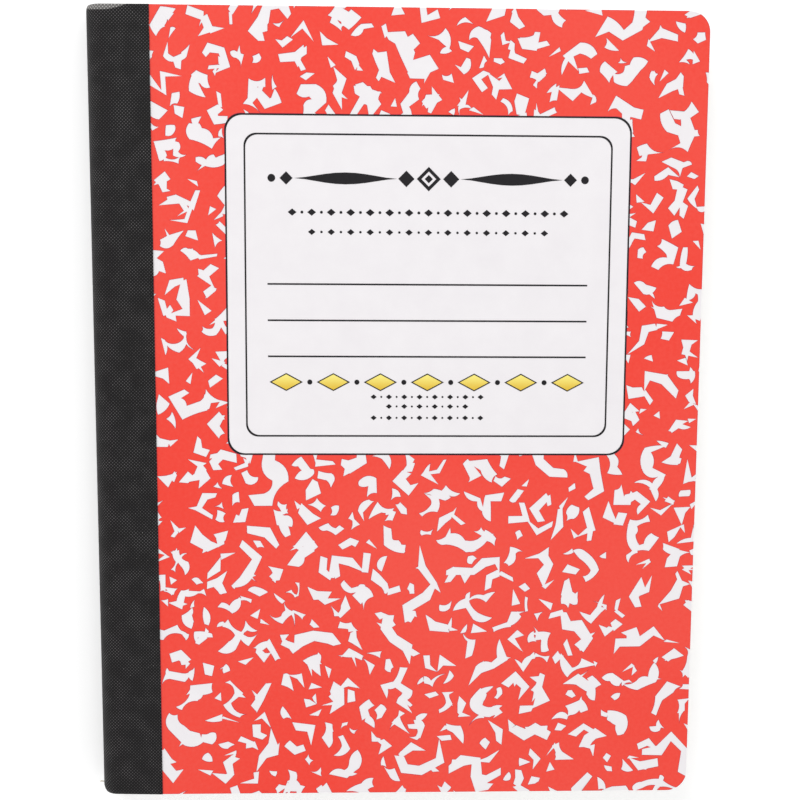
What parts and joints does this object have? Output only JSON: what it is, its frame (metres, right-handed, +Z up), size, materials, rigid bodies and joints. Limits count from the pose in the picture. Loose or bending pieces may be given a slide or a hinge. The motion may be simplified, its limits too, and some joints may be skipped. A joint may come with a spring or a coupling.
{
  "type": "composition notebook",
  "caption": "Sewn composition notebook with marbled red card covers, a cloth-taped round spine and a blank ruled name label, lying closed; both covers open.",
  "frame": {"origin": "under the middle of the closed book, on the surface that it lies on", "axes": "+X from the spine to the fore-edge, +Y from the tail to the head, +Z up through the front cover"},
  "size_m": [0.1905, 0.2476, 0.0113],
  "materials": {
    "pages": "smooth uncoated paper",
    "thread": "matte cotton thread",
    "white_board": "smooth white pressboard",
    "black_tape": "matte woven cloth tape",
    "red_ink": "satin printed",
    "black_ink": "satin printed",
    "yellow_ink": "satin printed",
    "blue_ink": "matte printed",
    "margin_ink": "matte printed"
  },
  "bodies": {
    "text_block": {"page_block": "pages", "sewing_thread": "thread", "spine_board": "white_board", "spine_tape": "black_tape", "first_page_lines": "blue_ink", "first_page_margin": "margin_ink", "last_page_lines": "blue_ink", "last_page_margin": "margin_ink"},
    "front_cover": {"front_board": "white_board", "front_tape": "black_tape", "front_print": "red_ink", "label_lines": "black_ink", "label_ornaments": "yellow_ink"},
    "back_cover": {"back_board": "white_board", "back_tape": "black_tape", "back_print": "red_ink"}
  },
  "joints": [
    {"name": "front_cover_hinge", "type": "hinge", "parent": "text_block", "child": "front_cover", "pos_m": [-0.0896, 0, 0.0113], "axis": [0, -1, 0], "range_deg": [0, 180]},
    {"name": "back_cover_hinge", "type": "hinge", "parent": "text_block", "child": "back_cover", "pos_m": [-0.0896, 0, 0], "axis": [0, 1, 0], "range_deg": [0, 180]}
  ]
}
